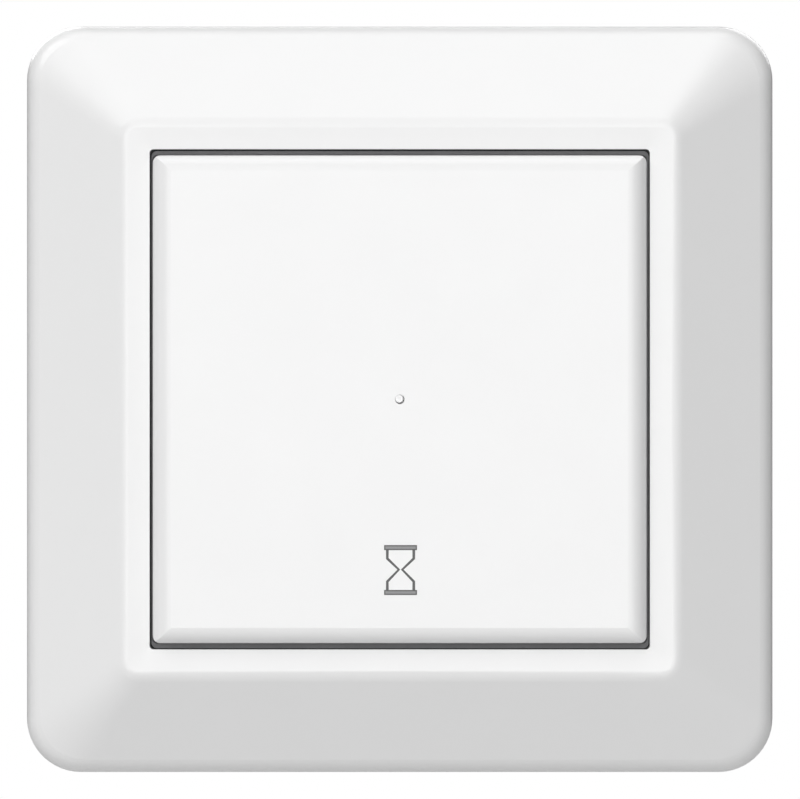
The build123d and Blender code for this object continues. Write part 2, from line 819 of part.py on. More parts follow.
# Clamp screws, backed off so that the bores are open
terminal_tip = terminal_z - terminal_bore_radius - free_clearance
terminal_head_low = terminal_low - terminal_screw_backoff
with BuildPart() as terminal_screws:
    with BuildSketch(Plane.XY.offset(terminal_head_low)):
        for place in terminal_places:
            with Locations((place, -terminal_screw_height)):
                Circle(terminal_screw_radius)
    extrude(amount=terminal_tip - terminal_head_low)
    with BuildSketch(Plane.XY.offset(terminal_head_low)):
        for place in terminal_places:
            with Locations((place, -terminal_screw_height)):
                Circle(terminal_head_radius)
    extrude(amount=-terminal_head)
    with BuildSketch(Plane.XY.offset(terminal_head_low - terminal_head)):
        for place in terminal_places:
            with Locations((place, -terminal_screw_height)):
                Rectangle(2 * terminal_head_radius, driver_slot_width)
    extrude(amount=driver_slot_depth, mode=Mode.SUBTRACT)
terminal_screws.part.label = "terminal_screws"
export_step(terminal_screws.part, "parts/terminal_screws.step")


# The control board
with BuildPart() as control_board:
    with BuildSketch(front(board_rear)):
        Rectangle(2 * board_half_width, 2 * board_half_height)
        with GridLocations(2 * boss_x, 2 * boss_z, 2, 2):
            Circle(boss_radius + board_side_gap, mode=Mode.SUBTRACT)
        with Locations((connector_x, connector_z)):
            with GridLocations(connector_pitch, 0, connector_pins_count, 1):
                Circle(connector_pin_hole, mode=Mode.SUBTRACT)
    extrude(amount=board_thickness)
control_board.part.label = "control_board"
export_step(control_board.part, "parts/control_board.step")


def build_switch(place):
    """Small push switch on the control board, bored for the plunger's stem."""
    with BuildPart() as switch:
        with BuildSketch(front(-control_setback)):
            with Locations((0, place)):
                Rectangle(switch_side, switch_side)
        extrude(amount=switch_height)
        with BuildSketch(front(switch_top)):
            with Locations((0, place)):
                Circle(stem_radius + running_clearance)
        extrude(amount=-switch_bore_depth, mode=Mode.SUBTRACT)
    return switch


def build_plunger(place):
    """Plunger between rocker and switch: domed head, collar for the spring, thin stem."""
    with BuildPart() as plunger:
        with BuildSketch(front(collar_top)):
            with Locations((0, place)):
                Circle(plunger_radius)
        extrude(amount=plunger_tip - collar_top)
        fillet(loop_at(plunger, plunger_tip), plunger_round)
        with BuildSketch(front(collar_under)):
            with Locations((0, place)):
                Circle(collar_radius)
        extrude(amount=collar_thickness)
        with BuildSketch(front(switch_top - stem_entry)):
            with Locations((0, place)):
                Circle(stem_radius)
        extrude(amount=collar_under - switch_top + stem_entry)
    return plunger


def helix_point(turn, start, pitch, place):
    """Point and direction of the spring's centre line after some turns."""
    angle = 2 * math.pi * turn
    point = Vector(
        spring_radius * math.cos(angle), -(start + pitch * turn), place + spring_radius * math.sin(angle)
    )
    run = 2 * math.pi * spring_radius
    direction = Vector(-run * math.sin(angle), -pitch, run * math.cos(angle)).normalized()
    return point, direction


def build_spring(place):
    """Coil spring from the switch to the plunger's collar, as quarter turns of two arcs each."""
    start = switch_top + spring_wire_radius + snap
    pitch = (collar_under - switch_top - 2 * (spring_wire_radius + snap)) / spring_turns
    arcs = []
    for quarter in range(4 * spring_turns):
        first, leaving = helix_point(quarter / 4, start, pitch, place)
        last, arriving = helix_point((quarter + 1) / 4, start, pitch, place)
        chord = last - first
        along = chord.dot(leaving + arriving)
        spread = 2 * (1 - leaving.dot(arriving))
        reach = (math.sqrt(along * along + spread * chord.dot(chord)) - along) / spread
        middle = (first + leaving * reach + last - arriving * reach) * 0.5
        arcs.append(Edge.make_tangent_arc(first, leaving, middle))
        turned = Edge.make_tangent_arc(middle, arcs[-1] % 1, last)
        arcs.append(turned)
    path = Wire(arcs)
    with BuildPart() as spring:
        with BuildSketch(Plane(origin=path @ 0, z_dir=path % 0)):
            Circle(spring_wire_radius)
        sweep(path=path)
    gap = least_gap(start, pitch, place)
    print(f"spring at {place}: pitch {pitch:.3f}, least gap between turns {gap:.3f}")
    return spring


def least_gap(start, pitch, place):
    """Least clear distance between points of neighbouring turns."""
    steps = 36
    points = [helix_point(step / steps, start, pitch, place)[0] for step in range(spring_turns * steps + 1)]
    apart = [
        (points[one] - points[other]).length
        for one in range(len(points))
        for other in range(one + steps // 2, len(points))
    ]
    return min(apart) - 2 * spring_wire_radius


for end_name, place in (("upper", plunger_place), ("lower", -plunger_place)):
    switch = build_switch(place)
    switch.part.label = f"{end_name}_switch"
    export_step(switch.part, f"parts/{end_name}_switch.step")
    plunger = build_plunger(place)
    plunger.part.label = f"{end_name}_plunger"
    export_step(plunger.part, f"parts/{end_name}_plunger.step")
    spring = build_spring(place)
    spring.part.label = f"{end_name}_spring"
    export_step(spring.part, f"parts/{end_name}_spring.step")


# The status light and the guide that carries its light through the deck
with BuildPart() as status_led:
    with BuildSketch(front(-control_setback)):
        Circle(led_base_radius)
    extrude(amount=led_base)
    with BuildSketch(front(-control_setback)):
        Circle(led_radius)
    extrude(amount=led_height)
    fillet(loop_at(status_led, led_height - control_setback), led_radius - snap)
status_led.part.label = "status_led"
export_step(status_led.part, "parts/status_led.step")

guide_rear = led_height - control_setback + guide_gap
with BuildPart() as light_guide:
    with BuildSketch(front(guide_rear)):
        Circle(guide_radius)
    extrude(amount=deck_top + guide_rise - guide_rear)
    with BuildSketch(front(deck_top)):
        Circle(guide_flange_radius)
    extrude(amount=guide_flange)
light_guide.part.label = "light_guide"
export_step(light_guide.part, "parts/light_guide.step")


# The controller chip
with BuildPart() as microcontroller:
    with BuildSketch(front(-control_setback)):
        with Locations((chip_x, chip_z)):
            Rectangle(chip_side, chip_side)
    extrude(amount=chip_height)
    chamfer(loop_at(microcontroller, chip_height - control_setback), chip_height / 4)
microcontroller.part.label = "microcontroller"
export_step(microcontroller.part, "parts/microcontroller.step")


# The time setting: a body on the board and a slotted shaft up to the deck
trimmer_top = trimmer_height - control_setback
with BuildPart() as trimmer_body:
    with BuildSketch(front(-control_setback)):
        with Locations((trimmer_x, trimmer_z)):
            Rectangle(trimmer_side, trimmer_side)
    extrude(amount=trimmer_height)
    with BuildSketch(front(trimmer_top)):
        with Locations((trimmer_x, trimmer_z)):
            Circle(trimmer_journal_radius + running_clearance)
    extrude(amount=-trimmer_journal - running_clearance, mode=Mode.SUBTRACT)
trimmer_body.part.label = "trimmer_body"
export_step(trimmer_body.part, "parts/trimmer_body.step")

with BuildPart() as trimmer_rotor:
    with BuildSketch(front(trimmer_top - trimmer_journal)):
        with Locations((trimmer_x, trimmer_z)):
            Circle(trimmer_journal_radius)
    extrude(amount=trimmer_journal + running_clearance)
    with BuildSketch(front(trimmer_top + running_clearance)):
        with Locations((trimmer_x, trimmer_z)):
            Circle(trimmer_shaft_radius)
    extrude(amount=shaft_end - trimmer_top - running_clearance)
    with BuildSketch(front(shaft_end)):
        with Locations((trimmer_x, trimmer_z)):
            Rectangle(2 * trimmer_shaft_radius, trimmer_slot_width)
    extrude(amount=-trimmer_slot_depth, mode=Mode.SUBTRACT)
trimmer_rotor.part.label = "trimmer_rotor"
export_step(trimmer_rotor.part, "parts/trimmer_rotor.step")


# The power board
with BuildPart() as power_board:
    with BuildSketch(front(power_front - power_thickness)):
        with Locations((0, (power_low + power_high) / 2)):
            Rectangle(2 * board_half_width, power_high - power_low)
        with GridLocations(2 * boss_x, 2 * boss_z, 2, 2):
            Circle(boss_radius + board_side_gap, mode=Mode.SUBTRACT)
    extrude(amount=power_thickness)
power_board.part.label = "power_board"
export_step(power_board.part, "parts/power_board.step")


def build_block(centre, length, width, height, edge):
    """Rectangular part that stands on the power board, with its front edges broken."""
    with BuildPart() as block:
        with BuildSketch(front(power_front)):
            with Locations(centre):
                Rectangle(length, width)
        extrude(amount=height)
        chamfer(loop_at(block, power_front + height), edge)
    return block


relay = build_block((relay_x, relay_z), relay_length, relay_width, relay_height, relay_edge)
relay.part.label = "relay"
export_step(relay.part, "parts/relay.step")

film_capacitor = build_block((film_x, film_z), film_length, film_width, film_height, film_edge)
film_capacitor.part.label = "film_capacitor"
export_step(film_capacitor.part, "parts/film_capacitor.step")

with BuildPart() as smoothing_capacitor:
    with BuildSketch(front(power_front)):
        with Locations((can_x, can_z)):
            Circle(can_radius)
    extrude(amount=can_height)
    fillet(loop_at(smoothing_capacitor, power_front + can_height), can_groove)
    with BuildSketch(front(power_front + can_radius / 2)):
        with Locations((can_x, can_z)):
            Circle(can_radius)
            Circle(can_radius - can_groove, mode=Mode.SUBTRACT)
    extrude(amount=can_groove, mode=Mode.SUBTRACT)
smoothing_capacitor.part.label = "smoothing_capacitor"
export_step(smoothing_capacitor.part, "parts/smoothing_capacitor.step")

with BuildPart() as varistor:
    with BuildSketch(Plane.XY.offset(varistor_z)):
        with Locations((varistor_x, -power_front - varistor_radius)):
            Circle(varistor_radius)
    extrude(amount=varistor_thickness / 2, both=True)
    fillet(varistor.edges(), varistor_thickness / 4)
varistor.part.label = "varistor"
export_step(varistor.part, "parts/varistor.step")

with BuildPart() as fuse:
    with BuildSketch(front(power_front)):
        with Locations((fuse_x, fuse_z)):
            Circle(fuse_radius)
    extrude(amount=fuse_height)
    chamfer(loop_at(fuse, power_front + fuse_height), relay_edge)
fuse.part.label = "fuse"
export_step(fuse.part, "parts/fuse.step")


# Pin strip between the two boards
with BuildPart() as connector_block:
    with BuildSketch(front(power_front)):
        with Locations((connector_x, connector_z)):
            Rectangle(connector_length, connector_width)
            with GridLocations(connector_pitch, 0, connector_pins_count, 1):
                Rectangle(connector_pin, connector_pin, mode=Mode.SUBTRACT)
    extrude(amount=connector_height)
connector_block.part.label = "connector_block"
export_step(connector_block.part, "parts/connector_block.step")

with BuildPart() as connector_pins:
    with BuildSketch(front(power_front)):
        with Locations((connector_x, connector_z)):
            with GridLocations(connector_pitch, 0, connector_pins_count, 1):
                Rectangle(connector_pin, connector_pin)
    extrude(amount=connector_pin_stand - control_setback - power_front)
connector_pins.part.label = "connector_pins"
export_step(connector_pins.part, "parts/connector_pins.step")

travel = plunger_place * math.radians(tilt_limit)
print(f"plunger travel {travel:.3f} each way for {tilt_limit} degrees of rocker tilt")
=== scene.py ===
import json
import logging
import math
from dataclasses import dataclass, field
from enum import Enum

import bmesh
import bpy
from mathutils import Matrix, Vector


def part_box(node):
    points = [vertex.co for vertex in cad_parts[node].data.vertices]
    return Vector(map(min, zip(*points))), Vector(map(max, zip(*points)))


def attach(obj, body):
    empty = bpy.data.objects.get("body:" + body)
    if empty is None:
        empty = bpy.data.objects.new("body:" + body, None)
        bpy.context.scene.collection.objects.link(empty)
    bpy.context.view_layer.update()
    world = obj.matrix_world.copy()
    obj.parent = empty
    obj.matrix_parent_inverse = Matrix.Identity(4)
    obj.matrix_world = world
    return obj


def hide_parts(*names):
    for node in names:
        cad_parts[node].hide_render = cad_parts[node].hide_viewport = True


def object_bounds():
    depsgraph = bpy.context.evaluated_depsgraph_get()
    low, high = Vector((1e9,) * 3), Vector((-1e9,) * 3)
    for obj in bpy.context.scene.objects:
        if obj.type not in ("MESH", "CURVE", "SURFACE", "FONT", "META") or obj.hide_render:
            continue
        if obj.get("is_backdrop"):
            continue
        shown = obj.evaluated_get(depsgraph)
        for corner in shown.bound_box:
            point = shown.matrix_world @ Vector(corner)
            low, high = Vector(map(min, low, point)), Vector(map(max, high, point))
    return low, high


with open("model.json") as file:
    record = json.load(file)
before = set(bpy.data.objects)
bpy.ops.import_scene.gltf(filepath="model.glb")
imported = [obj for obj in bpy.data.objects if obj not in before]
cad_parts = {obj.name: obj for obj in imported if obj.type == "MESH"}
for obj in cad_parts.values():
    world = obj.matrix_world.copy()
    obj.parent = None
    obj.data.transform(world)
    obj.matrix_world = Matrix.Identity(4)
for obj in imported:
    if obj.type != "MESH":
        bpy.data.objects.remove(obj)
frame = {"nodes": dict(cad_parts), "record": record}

# Looks of the timer light switch, in metres.
# The wall plane is y = 0, the viewer looks from -y, and +z is up.

log = logging.getLogger("timer_switch")
MERGE_DISTANCE = 1e-7
SHARP_EDGE = math.radians(35)


class Wire:
    """A number socket of a shader; Python's operators add Math nodes to it."""

    def __init__(self, shader: "Shader", socket: bpy.types.NodeSocket) -> None:
        """Wraps a socket.

        Args:
            shader: The shader that holds the socket.
            socket: An output socket that carries a number.
        """
        self.shader = shader
        self.socket = socket

    def _math(self, operation: str, first: object, second: object) -> "Wire":
        """Adds one Math node and returns its output."""
        made = self.shader.node("ShaderNodeMath", {"operation": operation}, {0: first, 1: second})
        return Wire(self.shader, made.outputs[0])

    def __add__(self, other: object) -> "Wire":
        """Sum."""
        return self._math("ADD", self, other)

    def __radd__(self, other: object) -> "Wire":
        """Sum, the other way round."""
        return self._math("ADD", other, self)

    def __sub__(self, other: object) -> "Wire":
        """Difference."""
        return self._math("SUBTRACT", self, other)

    def __rsub__(self, other: object) -> "Wire":
        """Difference, the other way round."""
        return self._math("SUBTRACT", other, self)

    def __mul__(self, other: object) -> "Wire":
        """Product."""
        return self._math("MULTIPLY", self, other)

    def step(self, low: float, high: float) -> "Wire":
        """Rises smoothly from 0 at one value to 1 at another.

        Args:
            low: Value where the result is still 0.
            high: Value where the result has reached 1.

        Returns:
            The smooth step.
        """
        settings = {"interpolation_type": "SMOOTHSTEP"}
        made = self.shader.node(
            "ShaderNodeMapRange", settings, {"Value": self, "From Min": low, "From Max": high}
        )
        return Wire(self.shader, made.outputs["Result"])


class Shader:
    """Builds one material's node tree."""

    def __init__(self, name: str) -> None:
        """Starts an empty material.

        Args:
            name: The material's name.
        """
        self.material = bpy.data.materials.new(name)
        self.material.use_nodes = True
        self.tree = self.material.node_tree
        self.tree.nodes.clear()

    def node(
        self, kind: str, settings: dict[str, object] | None = None, inputs: dict | None = None
    ) -> bpy.types.Node:
        """Adds a node.

        Args:
            kind: The node's type.
            settings: The node's own properties, set before its sockets.
            inputs: Values, wires or output sockets, by the input's name or number.

        Returns:
            The new node.
        """
        made = self.tree.nodes.new(kind)
        for key, value in (settings or {}).items():
            setattr(made, key, value)
        for key, value in (inputs or {}).items():
            target = made.inputs[key]
            if isinstance(value, Wire):
                value = value.socket
            if isinstance(value, bpy.types.NodeSocket):
                self.tree.links.new(value, target)
            else:
                target.default_value = value
        return made

    def place(self, scale: tuple[float, float, float] = (1, 1, 1)) -> bpy.types.NodeSocket:
        """Object coordinates, stretched along the axes.

        Args:
            scale: Stretch along x, y and z.

        Returns:
            The vector output.
        """
        where = self.node("ShaderNodeTexCoord").outputs["Object"]
        return self.node("ShaderNodeMapping", {}, {"Vector": where, "Scale": scale}).outputs[0]

    def axes(self) -> tuple[Wire, Wire, Wire]:
        """Object coordinates x, y and z as three wires."""
        where = self.node("ShaderNodeTexCoord").outputs["Object"]
        split = self.node("ShaderNodeSeparateXYZ", {}, {0: where})
        return tuple(Wire(self, output) for output in split.outputs)

    def noise(
        self, scale: float, detail: float = 2.0, stretch: tuple[float, float, float] = (1, 1, 1)
    ) -> Wire:
        """Soft noise from 0 to 1.

        Args:
            scale: Grains per metre.
            detail: Octaves of finer noise.
            stretch: Stretch of the grains' coordinates.

        Returns:
            The noise.
        """
        inputs = {"Vector": self.place(stretch), "Scale": scale, "Detail": detail}
        return Wire(self, self.node("ShaderNodeTexNoise", {}, inputs).outputs["Fac"])

    def blend(self, factor: Wire, first: tuple, second: tuple) -> bpy.types.NodeSocket:
        """Mixes two colours.

        Args:
            factor: 0 for the first colour, 1 for the second.
            first: Red, green and blue, or a colour socket.
            second: Red, green and blue, or a colour socket.

        Returns:
            The mixed colour.
        """
        colours = [c if isinstance(c, bpy.types.NodeSocket) else (*c, 1.0) for c in (first, second)]
        inputs = {0: factor, 6: colours[0], 7: colours[1]}
        return self.node("ShaderNodeMix", {"data_type": "RGBA"}, inputs).outputs[2]

    def bump(self, height: Wire, depth: float, strength: float = 1.0) -> bpy.types.NodeSocket:
        """Normal of a surface roughened by a height.

        Args:
            height: Height from 0 to 1.
            depth: What 1 stands for, in metres.
            strength: How much of the bump shows.

        Returns:
            The normal.
        """
        inputs = {"Height": height, "Distance": depth, "Strength": strength}
        return self.node("ShaderNodeBump", {}, inputs).outputs[0]

    def surface(self, inputs: dict) -> bpy.types.Material:
        """Ends the tree in a Principled shader.

        Args:
            inputs: Values or links of the shader's sockets.

        Returns:
            The finished material.
        """
        shader = self.node("ShaderNodeBsdfPrincipled", {}, inputs)
        self.node("ShaderNodeOutputMaterial", {}, {"Surface": shader.outputs[0]})
        return self.material


@dataclass(frozen=True)
class MouldedPlastic:
    """Injection-moulded plastic: faint cloudiness, a fine grain and a soft gloss."""

    name: str
    colour: tuple[float, float, float]
    roughness: float = 0.35
    grain_depth: float = 0.000002
    grain_scale: float = 9000.0
    cloud: float = 0.015
    cloud_scale: float = 120.0
    gloss_change: float = 0.04
    coat: float = 0.0
    coat_roughness: float = 0.12

    def build(self) -> bpy.types.Material:
        """Makes the material."""
        shader = Shader(self.name)
        cloud = shader.noise(self.cloud_scale, 3.0)
        grain = shader.noise(self.grain_scale, 1.0)
        dim = tuple(channel * (1 - self.cloud) for channel in self.colour)
        return shader.surface({
            "Base Color": shader.blend(cloud, self.colour, dim),
            "Roughness": self.roughness + (cloud - 0.5) * self.gloss_change,
            "Coat Weight": self.coat,
            "Coat Roughness": self.coat_roughness,
            "Normal": shader.bump(grain, self.grain_depth),
        })


@dataclass(frozen=True)
class SparkedPlastic:
    """Dark moulded plastic with the even pits of a spark-eroded mould."""

    name: str
    colour: tuple[float, float, float]
    roughness: float = 0.55
    pit_scale: float = 3800.0
    pit_depth: float = 0.00003
    pit_strength: float = 0.6
    cloud_scale: float = 90.0
    gloss_change: float = 0.25
    worn_gain: float = 1.5

    def build(self) -> bpy.types.Material:
        """Makes the material."""
        shader = Shader(self.name)
        pits = shader.noise(self.pit_scale, 2.0)
        cloud = shader.noise(self.cloud_scale, 3.0)
        worn = tuple(channel * self.worn_gain for channel in self.colour)
        return shader.surface({
            "Base Color": shader.blend(cloud * 0.5 + pits * 0.3, self.colour, worn),
            "Roughness": self.roughness + (pits - 0.5) * self.gloss_change,
            "Normal": shader.bump(pits, self.pit_depth, self.pit_strength),
        })


@dataclass(frozen=True)
class PlatedSteel:
    """Stamped steel with a zinc coat: cloudy crystals, drawn scratches and a cool tint."""

    name: str
    colour: tuple[float, float, float] = (0.62, 0.63, 0.65)
    tint: tuple[float, float, float] = (0.50, 0.53, 0.58)
    roughness: float = 0.34
    cloud_scale: float = 70.0
    crystal_scale: float = 420.0
    crystal_gloss: float = 0.25
    scratch_scale: float = 2600.0
    scratch_gloss: float = 0.12
    relief: float = 0.000012

    def build(self) -> bpy.types.Material:
        """Makes the material."""
        shader = Shader(self.name)
        cloud = shader.noise(self.cloud_scale, 4.0)
        crystal = shader.noise(self.crystal_scale, 3.0)
        scratch = shader.noise(self.scratch_scale, 2.0, (0.06, 1.0, 1.0))
        mix = (cloud * 0.6 + crystal * 0.4).step(0.35, 0.7)
        gloss = (crystal - 0.5) * self.crystal_gloss + (scratch - 0.5) * self.scratch_gloss
        return shader.surface({
            "Base Color": shader.blend(mix, self.colour, self.tint),
            "Metallic": 1.0,
            "Roughness": self.roughness + gloss,
            "Normal": shader.bump(scratch * 0.5 + crystal * 0.5, self.relief, 0.5),
        })


@dataclass(frozen=True)
class TurnedMetal:
    """Turned or drawn metal with fine rings of tool marks."""

    name: str
    colour: tuple[float, float, float]
    dull: tuple[float, float, float]
    roughness: float = 0.28
    gloss_change: float = 0.15
    tarnish_scale: float = 260.0
    mark_scale: float = 5200.0
    mark_depth: float = 0.000008

    def build(self) -> bpy.types.Material:
        """Makes the material."""
        shader = Shader(self.name)
        tarnish = shader.noise(self.tarnish_scale, 4.0).step(0.45, 0.75)
        marks = shader.noise(self.mark_scale, 1.0, (0.2, 1.0, 0.2))
        return shader.surface({
            "Base Color": shader.blend(tarnish, self.colour, self.dull),
            "Metallic": 1.0,
            "Roughness": self.roughness + (tarnish + marks - 0.5) * self.gloss_change,
            "Normal": shader.bump(marks, self.mark_depth, 0.5),
        })


@dataclass(frozen=True)
class SolderMask:
    """Green lacquer of a circuit board, with tracks showing as lighter raised lines."""

    name: str
    lacquer: tuple[float, float, float] = (0.012, 0.11, 0.045)
    track: tuple[float, float, float] = (0.03, 0.22, 0.08)
    track_pitch: float = 0.0016
    track_depth: float = 0.00003
    wander_scale: float = 300.0
    area_scale: float = 160.0
    weave_scale: float = 3000.0

    def build(self) -> bpy.types.Material:
        """Makes the material."""
        shader = Shader(self.name)
        x, _, z = shader.axes()
        wander = (shader.noise(self.wander_scale, 0.0) - 0.5) * 2.0
        across = self.line(shader, x, wander)
        along = self.line(shader, z, wander)
        area = shader.noise(self.area_scale, 0.0).step(0.49, 0.51)
        track = across * area + along * (1 - area)
        weave = shader.noise(self.weave_scale, 1.0, (1.0, 1.0, 0.25))
        return shader.surface({
            "Base Color": shader.blend(track, self.lacquer, self.track),
            "Roughness": 0.3 + weave * 0.12,
            "Coat Weight": 0.4,
            "Coat Roughness": 0.1,
            "Normal": shader.bump(track + weave * 0.2, self.track_depth, 0.7),
        })

    def line(self, shader: Shader, place: Wire, wander: Wire) -> Wire:
        """Parallel tracks across one axis.

        Args:
            shader: The material's shader.
            place: Coordinate across the tracks.
            wander: Slow change that bends the tracks.

        Returns:
            1 on a track, 0 between tracks.
        """
        turns = place * (math.pi / self.track_pitch) + wander
        wave = shader.node("ShaderNodeMath", {"operation": "SINE"}, {0: turns}).outputs[0]
        return Wire(shader, wave).step(0.55, 0.7)


@dataclass(frozen=True)
class ClearPlastic:
    """Clear or milky light pipe plastic."""

    name: str
    colour: tuple[float, float, float] = (0.93, 0.94, 0.95)
    milk: float = 0.5
    haze_scale: float = 900.0
    refraction: float = 1.49

    def build(self) -> bpy.types.Material:
        """Makes the material."""
        shader = Shader(self.name)
        haze = shader.noise(self.haze_scale, 2.0)
        dim = tuple(channel * 0.96 for channel in self.colour)
        return shader.surface({
            "Base Color": shader.blend(haze, self.colour, dim),
            "Roughness": 0.12 + haze * 0.08,
            "Transmission Weight": 1.0 - self.milk,
            "IOR": self.refraction,
        })


@dataclass(frozen=True)
class PrintedInk:
    """Pad-printed ink: matt, slightly uneven in tone."""

    name: str
    colour: tuple[float, float, float]
    roughness: float = 0.6
    cover_scale: float = 6000.0
    thin_gain: float = 1.12

    def build(self) -> bpy.types.Material:
        """Makes the material."""
        shader = Shader(self.name)
        cover = shader.noise(self.cover_scale, 2.0)
        thin = tuple(channel * self.thin_gain for channel in self.colour)
        return shader.surface({
            "Base Color": shader.blend(cover, self.colour, thin),
            "Roughness": self.roughness + (cover - 0.5) * 0.1,
        })


class Slot(Enum):
    """Finish of each material slot in the record."""

    white_gloss = MouldedPlastic("white_gloss", (0.86, 0.86, 0.86), 0.30, coat=0.3)
    clear_plastic = ClearPlastic("clear_plastic")
    carrier_grey = MouldedPlastic("carrier_grey", (0.62, 0.62, 0.63), 0.5, 0.00001)
    zinc_steel = PlatedSteel("zinc_steel")
    housing_dark = SparkedPlastic("housing_dark", (0.045, 0.046, 0.05))
    board_green = SolderMask("board_green")
    black_plastic = SparkedPlastic("black_plastic", (0.018, 0.018, 0.02), 0.45)
    relay_plastic = MouldedPlastic("relay_plastic", (0.04, 0.08, 0.22), 0.4)
    film_yellow = MouldedPlastic("film_yellow", (0.62, 0.40, 0.06), 0.35)
    can_aluminium = TurnedMetal("can_aluminium", (0.75, 0.76, 0.78), (0.6, 0.61, 0.63))
    varistor_blue = MouldedPlastic("varistor_blue", (0.02, 0.10, 0.38), 0.25, cloud=0.2, coat=0.5)
    fuse_brown = MouldedPlastic("fuse_brown", (0.12, 0.045, 0.025), 0.4)
    brass = TurnedMetal("brass", (0.78, 0.57, 0.26), (0.55, 0.38, 0.18))
    tinned_metal = TurnedMetal("tinned_metal", (0.78, 0.78, 0.76), (0.6, 0.6, 0.58))
    spring_steel = TurnedMetal("spring_steel", (0.56, 0.56, 0.57), (0.40, 0.40, 0.42))
    blue_plastic = MouldedPlastic("blue_plastic", (0.02, 0.16, 0.48), 0.35)
    natural_plastic = MouldedPlastic("natural_plastic", (0.78, 0.76, 0.68), 0.4)


# Finishes of single pieces that differ from their slot's own
# Carrier grey darkened for the collar deep in the gap round the button: painted shade, a darker copy of
# the carrier's finish.
COLLAR_SHADE_GREY = MouldedPlastic("collar_shade_grey", (0.33, 0.33, 0.34), 0.5, 0.00001)
LENS_MILK = ClearPlastic("lens_milk", (0.97, 0.97, 0.97), 0.97)
INK = PrintedInk("mark_ink", (0.12, 0.12, 0.12))
THIN_INK = PrintedInk("mark_ink_light", (0.30, 0.30, 0.30))


@dataclass
class Workshop:
    """Turns finished bmeshes into pieces that ride on the switch's bodies."""

    made: dict[str, bpy.types.Material] = field(default_factory=dict)

    def material(self, finish: object) -> bpy.types.Material:
        """Builds a finish once and hands it out again.

        Args:
            finish: A finish with a name and a build method.

        Returns:
            The material.
        """
        if finish.name not in self.made:
            self.made[finish.name] = finish.build()
        return self.made[finish.name]

    def piece(
        self, name: str, mesh: bmesh.types.BMesh, body: str, slot: str, finish: object | None = None
    ) -> bpy.types.Object:
        """Makes an object of a bmesh, dresses it and lets it ride on a body.

        Args:
            name: The piece's name.
            mesh: The finished bmesh, which is freed.
            body: The body that carries the piece.
            slot: The record's material slot.
            finish: Finish of the piece, or the slot's own if none is given.

        Returns:
            The new object.
        """
        data = bpy.data.meshes.new(name)
        mesh.to_mesh(data)
        mesh.free()
        for face in data.polygons:
            face.use_smooth = True
        data.set_sharp_from_angle(angle=SHARP_EDGE)
        made = bpy.data.objects.new(name, data)
        bpy.context.scene.collection.objects.link(made)
        made.data.materials.append(self.material(finish or Slot[slot].value))
        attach(made, body)
        log.info("made %s with %d faces", name, len(data.polygons))
        return made

    def reopen(self, node: str) -> tuple[bmesh.types.BMesh, list[Vector]]:
        """Copies a solid's mesh, with its points merged.

        Args:
            node: Name of the solid's node.

        Returns:
            The copy, and the normals of the solid's face corners.
        """
        data = frame["nodes"][node].data
        normals = [corner.vector.copy() for corner in data.corner_normals]
        mesh = bmesh.new()
        mesh.from_mesh(data)
        bmesh.ops.remove_doubles(mesh, verts=mesh.verts, dist=MERGE_DISTANCE)
        return mesh, normals

    def stand_in(
        self, name: str, mesh: bmesh.types.BMesh, normals: list[Vector], body: str, node: str
    ) -> None:
        """Puts a white moulding in a solid's place.

        Args:
            name: The piece's name.
            mesh: The finished bmesh, which is freed.
            normals: Normals of its face corners, left out if merging has dropped a face.
            body: The body that carries the piece.
            node: Name of the solid's node.
        """
        made = self.piece(name, mesh, body, "white_gloss")
        if len(normals) == len(made.data.loops):
            made.data.normals_split_custom_set(normals)
        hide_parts(node)

    def dress(self) -> None:
        """Gives every CAD node the finish of its slot."""
        slots = {part["node"]: part["material_slot"] for part in frame["record"]["subparts"]}
        for name, node in frame["nodes"].items():
            node.data.materials.clear()
            node.data.materials.append(self.material(Slot[slots[name]].value))
            log.info("dressed %s as %s", name, slots[name])


def block(
    mesh: bmesh.types.BMesh, low: tuple, high: tuple, edge: float = 0.0, steps: int = 2
) -> None:
    """Adds a box between two corners, with rounded edges.

    Args:
        mesh: The bmesh that gets the box.
        low: Lowest corner.
        high: Highest corner.
        edge: Radius of the edges.
        steps: Segments of each rounded edge.
    """
    low, high = Vector(low), Vector(high)
    size = Matrix.Diagonal((*(high - low), 1.0))
    made = bmesh.ops.create_cube(mesh, size=1.0, matrix=Matrix.Translation((low + high) / 2) @ size)
    if edge:
        edges = list({line for vert in made["verts"] for line in vert.link_edges})
        bmesh.ops.bevel(
            mesh, geom=edges, offset=edge, segments=steps, profile=0.5, affect="EDGES", material=-1
        )


def lathe(
    mesh: bmesh.types.BMesh, outline: list[tuple[float, float]], centre: tuple, steps: int = 48
) -> None:
    """Adds a turned form about an axis that runs out of the wall.

    Args:
        mesh: The bmesh that gets the form.
        outline: Pairs of radius and height in front of the wall, from front to back.
        centre: x and z of the axis.
        steps: Faces round the axis.
    """
    verts = [mesh.verts.new((centre[0] + radius, -height, centre[1])) for radius, height in outline]
    edges = [mesh.edges.new(pair) for pair in zip(verts, verts[1:])]
    bmesh.ops.spin(
        mesh, geom=verts + edges, cent=(centre[0], 0, centre[1]), axis=(0, 1, 0),
        angle=2 * math.pi, steps=steps, use_merge=True,
    )
    bmesh.ops.remove_doubles(mesh, verts=mesh.verts, dist=MERGE_DISTANCE)
    bmesh.ops.recalc_face_normals(mesh, faces=mesh.faces)


